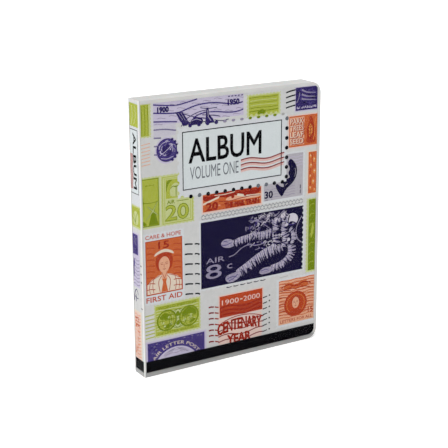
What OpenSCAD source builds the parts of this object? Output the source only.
// Ring-bound stamp album in a moulded case, with printed cards under clear film.
// Millimetres. +Z runs up the spine, the front cover faces -Y and the spine faces -X.
// The origin is the centre of the bottom edge on which the closed album stands.

/* [Case] */
// Height of the closed case
case_h = 238; // [232:1:260]
// Width from the spine to the fore-edge
case_w = 178; // [176:1:200]
// Thickness of the closed case
case_d = 18.5; // [18.5:0.1:22]
// Thickness of the cover panels, the spine and the side walls
wall_t = 1.9; // [1.8:0.05:2.1]
// Radius of the two fore-edge corners
corner_r = 10; // [7:0.5:14]
// Gap between the front and rear walls where they meet
parting_gap = 0.25; // [0.2:0.05:0.4]

/* [Hinges] */
// Distance of each living-hinge axis from the two outer faces beside it
hinge_in = 0.5; // [0.45:0.05:0.6]
// Clearance between a hinge web and the panel that swings round it
hinge_gap = 0.12; // [0.1:0.01:0.15]

/* [Printed cards] */
// Width of the bare rim beside the card at the fore-edge
rim_side = 2.9; // [2.5:0.1:5]
// Height of the bare rim above the card
rim_top = 3.0; // [2.5:0.1:5]
// Height of the bare rim under the card
rim_bottom = 4.1; // [2.5:0.1:6]
// Width of the bare strip between a card and its hinge
rim_hinge = 0.45; // [0.4:0.05:0.6]
// Corner radius of the cover cards
card_r = 5; // [3:0.5:7]
// Thickness of a printed card
card_t = 0.28; // [0.2:0.01:0.3]
// Thickness of the clear film over a card
film_t = 0.2; // [0.15:0.01:0.22]

/* [Rings] */
// Distance between neighbouring rings
ring_pitch = 69.85; // [60:0.05:75]
// Radius of the ring to the centre of its bar
ring_r = 5.2; // [5:0.1:5.3]
// Radius of the round bar that a ring is made of
bar_r = 1.1; // [0.9:0.05:1.15]
// Radius of the gate's hinge pin
pin_r = 0.7; // [0.6:0.05:0.75]

/* [Pages] */
// Number of stock pages on the rings
page_count = 5; // [1:1:5]
// Width of a page
page_w = 158; // [150:1:160]
// Height of a page
page_h = 216; // [200:1:220]
// Distance between neighbouring pages
page_pitch = 1.4; // [1.35:0.05:1.5]
// Number of clear strips, each a row of stamps
row_count = 6; // [4:1:8]
// Stamps in one row
stamps_in_row = 5; // [3:1:6]

/* [Hidden] */
$fn = 64;
cover_nodes = ["cover", "insert", "overlay"];
page_nodes = ["leaf", "strips", "stamps"];

shell_colour = "gainsboro";
web_colour = "white";
card_colour = "lavender";
film_colour = [0.8, 0.9, 1, 0.35];
ring_colour = "whitesmoke";
steel_colour = "silver";
leaf_colour = "dimgray";
stamp_colour = "tomato";

// Faces of the closed case.
left_x = -case_w / 2;
right_x = case_w / 2;
outer_y = case_d / 2;
inner_y = outer_y - wall_t;

// Recess in each outer face: film, an air gap for the ink, then the card.
film_set = 0.05;
ink_gap = 0.12;
recess_d = film_set + film_t + ink_gap + card_t;

// Living hinges: a thin round web at each outer corner of the spine.
hinge_x = left_x + hinge_in;
hinge_y = outer_y - hinge_in;
panel_x = left_x + 2 * hinge_in + hinge_gap;
spine_end_y = outer_y - 2 * hinge_in - 0.05;
mitre_gap = 0.2;
wall_clear = 0.2;
wall_x = left_x + wall_t + wall_clear;

// Alignment lip inside the parting line, and the snap tabs at the fore-edge.
lip_t = 0.9;
lip_h = 2;
lip_clear = 0.3;
tab_h = 14;
tab_t = 1;
tab_reach = 3.2;
tab_clear = 0.35;
tab_bump = 0.25;
tab_spread = 70;

// Rings: centre, hinge pin and base plate.
ring_x = left_x + 12;
ring_y = 0.3;
ring_count = 3;
ring_z = [for (i = [0:ring_count - 1]) case_h / 2 + (i - 1) * ring_pitch];
pin_x = ring_x - 3.4;
pin_y = ring_y + 3.9;
barrel_r = 1.4;
barrel_h = 4;
ear_t = 2.5;
ear_gap = 0.25;
ear_w = 2.8;
plate_t = 1.6;
plate_y = inner_y - plate_t;
plate_left = ring_x - 5;
plate_right = ring_x + 9;
plate_over = 20;
arc_end = 52;
lap_angle = 7;
lap_gap = 0.1;
gate_bar_w = 1.2;
gate_bar_x = ring_x - 6.6;
gate_bar_over = 9;
thumb_z = 3.6;
thumb_h = 6;
rivet_r = 1.5;
rivet_head_r = 2.6;
rivet_head_t = 0.6;
rivet_depth = 0.8;
rivet_x = ring_x + 6.2;
rivet_off = 11;

// Pages: a leaf with a row of clear strips and stamps on each side.
leaf_t = 0.4;
strip_t = 0.15;
stamp_t = 0.12;
stamp_gap = 0.03;
page_x = ring_x + 0.2;
page_z = (case_h - page_h) / 2;
first_page_y = ring_y - 2.2;
hole_x = ring_x + 4.9;
hole_r = 3.1;
binding_w = 14;
page_edge = 5;
row_pitch = (page_h - 2 * page_edge) / row_count;
strip_h = row_pitch * 0.72;
strip_w = page_w - binding_w - page_edge;
stamp_w = 20;
stamp_h = 24;
stamp_pitch = strip_w / stamps_in_row;

// A box from its lowest corner to its highest.
module block(low, high) {
    translate(low) cube(high - low);
}

// A plate in the XZ plane from one Y to another, with its two +X corners rounded.
module rounded_plate(x0, x1, z0, z1, y0, y1, r) {
    translate([0, y1, 0]) rotate([90, 0, 0]) linear_extrude(y1 - y0) difference() {
        translate([x0, z0]) square([x1 - x0, z1 - z0]);
        for (side = [0, 1]) translate([x1 - r, side == 0 ? z0 + r : z1 - r])
            difference() {
                translate([0, side == 0 ? -r - 1 : 0]) square([r + 1, r + 1]);
                circle(r);
            }
    }
}

// One half of the case: a panel with walls on three sides, lying towards +Y.
module case_half() {
    difference() {
        union() {
            difference() {
                rounded_plate(wall_x, right_x, 0, case_h, parting_gap / 2, outer_y, corner_r);
                rounded_plate(wall_x - 1, right_x - wall_t, wall_t, case_h - wall_t,
                              -1, inner_y, corner_r - wall_t);
            }
            difference() {
                rounded_plate(panel_x, right_x, 0, case_h, inner_y, outer_y, corner_r);
                translate([left_x, outer_y, -1]) linear_extrude(case_h + 2)
                    polygon([[0, 0.01], [-1, -wall_t - 1], [wall_t + mitre_gap + 1, -wall_t - 1],
                             [mitre_gap, 0.01]]);
            }
        }
        rounded_plate(panel_x + rim_hinge, right_x - rim_side, rim_bottom, case_h - rim_top,
                      outer_y - recess_d, outer_y + 1, card_r);
    }
}

// A card or film that fills the recess of a cover between two depths below its outer face.
module cover_sheet(depth_0, depth_1) {
    rounded_plate(panel_x + rim_hinge, right_x - rim_side, rim_bottom, case_h - rim_top,
                  outer_y - depth_1, outer_y - depth_0, card_r);
}

module rear_cover() {
    color(shell_colour) difference() {
        union() {
            case_half();
            // Alignment lip that stands inside the front half's walls.
            intersection() {
                difference() {
                    lip_plate(wall_t + lip_clear, -lip_h, inner_y - 0.5);
                    lip_plate(wall_t + lip_clear + lip_t, -lip_h - 1, inner_y);
                }
                block([wall_x + 6, -lip_h, 0], [right_x, parting_gap / 2 + 3, case_h]);
            }
            // Narrow ledge that joins the lip to the wall.
            difference() {
                lip_plate(wall_t - 0.4, parting_gap / 2, parting_gap / 2 + 3);
                lip_plate(wall_t + lip_clear + lip_t, -1, inner_y);
            }
        }
        // Windows in the lip for the snap tabs.
        for (side = [-1, 1]) block(
            [right_x - wall_t - lip_clear - lip_t - 1, -lip_h - 1, case_h / 2 + side * tab_spread - tab_h / 2 - 0.5],
            [right_x - wall_t, parting_gap / 2 + 4, case_h / 2 + side * tab_spread + tab_h / 2 + 0.5]);
        // Blind holes for the rivets that hold the ring base.
        for (z = ring_z, side = [-1, 1]) translate([rivet_x, inner_y - 1, z + side * rivet_off])
            rotate([-90, 0, 0]) cylinder(r = rivet_r, h = 1 + rivet_depth);
    }
}

// Full plate set in from the case's outline, used for the lip.
module lip_plate(inset, y0, y1) {
    rounded_plate(wall_x + 6, right_x - inset, inset, case_h - inset, y0, y1, corner_r - inset);
}

module front_cover() {
    color(shell_colour) mirror([0, 1, 0]) case_half();
}

module rear_insert() {
    color(card_colour) cover_sheet(recess_d - card_t, recess_d);
}

module front_insert() {
    color(card_colour) mirror([0, 1, 0]) cover_sheet(recess_d - card_t, recess_d);
}

module rear_overlay() {
    color(film_colour) cover_sheet(film_set, film_set + film_t);
}

module front_overlay() {
    color(film_colour) mirror([0, 1, 0]) cover_sheet(film_set, film_set + film_t);
}

module rear_hinge_web() {
    color(web_colour) {
        translate([hinge_x, hinge_y, 0]) cylinder(r = hinge_in, h = case_h);
        block([hinge_x, hinge_y, 0], [panel_x, outer_y, case_h]);
    }
}

module front_hinge_web() {
    color(web_colour) {
        translate([hinge_x, -hinge_y, 0]) cylinder(r = hinge_in, h = case_h);
        block([left_x, -hinge_y, 0], [hinge_x, -spine_end_y, case_h]);
    }
}

// Spine panel with mitred edges, so that it folds against both covers.
module spine_panel() {
    mitre_x = left_x + outer_y - spine_end_y - mitre_gap;
    fold_y = inner_y - mitre_gap;
    rear_y = spine_end_y - hinge_gap;
    color(shell_colour) difference() {
        linear_extrude(case_h)
            polygon([[left_x, -spine_end_y], [mitre_x, -spine_end_y], [left_x + wall_t, -fold_y],
                     [left_x + wall_t, fold_y - hinge_gap], [mitre_x, rear_y], [left_x, rear_y]]);
        spine_sheet(-1, recess_d);
    }
}

// A card or film in the spine's recess, between two depths below its outer face.
module spine_sheet(depth_0, depth_1) {
    block([left_x + depth_0, -spine_end_y + rim_hinge, rim_bottom],
          [left_x + depth_1, spine_end_y - hinge_gap - rim_hinge, case_h - rim_top]);
}

module spine_insert() {
    color(card_colour) spine_sheet(recess_d - card_t, recess_d);
}

module spine_overlay() {
    color(film_colour) spine_sheet(film_set, film_set + film_t);
}

// Two flat snap tabs on the front half, each with a low bump near its tip.
module latch_tabs() {
    tab_x = right_x - wall_t - tab_clear;
    for (side = [-1, 1]) color(shell_colour) translate([0, 0, case_h / 2 + side * tab_spread - tab_h / 2]) {
        block([tab_x - tab_t, -inner_y, 0], [tab_x, tab_reach, tab_h]);
        block([tab_x, -inner_y, 0], [right_x - wall_t, -parting_gap - 2, tab_h]);
        block([tab_x, tab_reach - 1.2, 2], [tab_x + tab_bump, tab_reach - 0.2, tab_h - 2]);
    }
}

// Part of a ring between two angles, measured from +X towards the front.
module ring_arc(from, to) {
    translate([ring_x, ring_y, 0]) rotate([0, 0, -to]) rotate_extrude(angle = to - from)
        translate([ring_r, 0]) circle(bar_r);
}

// The half of the bar inside (side -1) or outside (side 1) the ring's own radius.
module ring_lap(from, to, side) {
    translate([ring_x, ring_y, 0]) rotate([0, 0, -to]) rotate_extrude(angle = to - from)
        intersection() {
            translate([ring_r, 0]) circle(bar_r);
            translate([ring_r + (side > 0 ? lap_gap : -2), -2]) square([2 - (side > 0 ? 0 : lap_gap), 4]);
        }
}

// Base plate with the fixed ring halves and the ears that hold the gate's pin.
module ring_base() {
    color(ring_colour) difference() {
        union() {
            block([plate_left, plate_y, ring_z[0] - plate_over],
                  [plate_right, inner_y, ring_z[ring_count - 1] + plate_over]);
            for (z = ring_z) translate([0, 0, z]) {
                ring_arc(-arc_end, 90 - lap_angle);
                ring_lap(90 - lap_angle, 90 + lap_angle - 1, -1);
                block([ring_x + 1.8, ring_y + 3.9, -2.5], [ring_x + 6, plate_y, 2.5]);
                for (side = [-1, 1]) {
                    ear_z = side * (barrel_h / 2 + ear_gap + ear_t / 2);
                    block([pin_x - ear_w / 2, pin_y, ear_z - ear_t / 2],
                          [pin_x + ear_w / 2, plate_y, ear_z + ear_t / 2]);
                    translate([pin_x, pin_y, ear_z - ear_t / 2]) cylinder(d = ear_w, h = ear_t);
                }
            }
        }
        translate([pin_x, pin_y, ring_z[0] - plate_over]) cylinder(r = pin_r, h = case_h);
        for (z = ring_z, side = [-1, 1]) translate([rivet_x, plate_y - 1, z + side * rivet_off])
            rotate([-90, 0, 0]) cylinder(r = rivet_r, h = plate_t + 2);
    }
}

// Rivets with low round heads, through the base plate into the rear cover.
module ring_rivets() {
    color(web_colour) for (z = ring_z, side = [-1, 1])
        translate([rivet_x, plate_y, z + side * rivet_off]) rotate([-90, 0, 0]) {
            cylinder(r = rivet_r, h = plate_t + rivet_depth);
            translate([0, 0, -rivet_head_t])
                cylinder(r1 = rivet_head_r - 0.4, r2 = rivet_head_r, h = rivet_head_t);
        }
}

module gate_pin() {
    end = barrel_h / 2 + ear_gap + ear_t + 0.4;
    color(steel_colour) translate([pin_x, pin_y, ring_z[0] - end])
        cylinder(r = pin_r, h = ring_z[ring_count - 1] - ring_z[0] + 2 * end);
}

// Gang of moving ring halves on one bar, with a thumb tab at its lower end.
module ring_gate() {
    bar_y = [ring_y + 2.2, ring_y + 4];
    color(ring_colour) difference() {
        union() {
            block([gate_bar_x, bar_y[0], thumb_z],
                  [gate_bar_x + gate_bar_w, bar_y[1], ring_z[ring_count - 1] + gate_bar_over]);
            block([gate_bar_x, bar_y[0] - 2.4, thumb_z],
                  [gate_bar_x + gate_bar_w, bar_y[1], thumb_z + thumb_h]);
            for (z = ring_z) translate([0, 0, z]) {
                ring_arc(90 + lap_angle, 180 + arc_end - 8);
                ring_lap(90 - lap_angle + 1, 90 + lap_angle, 1);
                block([gate_bar_x, bar_y[0], -barrel_h / 2], [pin_x, bar_y[1], barrel_h / 2]);
                translate([pin_x, pin_y, -barrel_h / 2]) cylinder(r = barrel_r, h = barrel_h);
            }
        }
        translate([pin_x, pin_y, ring_z[0] - 10]) cylinder(r = pin_r + 0.05, h = case_h);
    }
}

function page_y(k) = first_page_y + (k - 1) * page_pitch;

// A page's leaf, with three round holes along its binding edge.
module leaf(k) {
    color(leaf_colour) difference() {
        rounded_plate(page_x, page_x + page_w, page_z, page_z + page_h,
                      page_y(k) - leaf_t / 2, page_y(k) + leaf_t / 2, 3);
        for (z = ring_z) translate([hole_x, page_y(k) - 1, z]) rotate([-90, 0, 0])
            cylinder(r = hole_r, h = 2);
    }
}

// The lower edge of a row of stamps on a page.
function row_z(row) = page_z + page_edge + row * row_pitch;

// Clear strips on both sides of a page, each held to the leaf along its foot.
module strips(k) {
    color(film_colour) for (row = [0:row_count - 1], side = [-1, 1]) {
        near = page_y(k) + side * leaf_t / 2;
        far = near + side * (stamp_t + 2 * stamp_gap);
        out = far + side * strip_t;
        x0 = page_x + binding_w;
        block([x0, min(near, out), row_z(row)], [x0 + strip_w, max(near, out), row_z(row) + 1.2]);
        block([x0, min(far, out), row_z(row) + 1.2], [x0 + strip_w, max(far, out), row_z(row) + strip_h]);
    }
}

// Stamps standing in the strips, on both sides of a page.
module stamps(k) {
    foot = 1.4;
    color(stamp_colour) for (row = [0:row_count - 1], n = [0:stamps_in_row - 1], side = [-1, 1]) {
        near = page_y(k) + side * (leaf_t / 2 + stamp_gap);
        far = near + side * stamp_t;
        x0 = page_x + binding_w + (n + 0.5) * stamp_pitch - stamp_w / 2;
        block([x0, min(near, far), row_z(row) + foot],
              [x0 + stamp_w, max(near, far), row_z(row) + foot + stamp_h]);
    }
}

rear_cover();
rear_insert();
rear_overlay();
front_cover();
front_insert();
front_overlay();
rear_hinge_web();
front_hinge_web();
spine_panel();
spine_insert();
spine_overlay();
latch_tabs();
ring_base();
ring_rivets();
gate_pin();
ring_gate();
for (k = [1:page_count]) {
    leaf(k);
    strips(k);
    stamps(k);
}
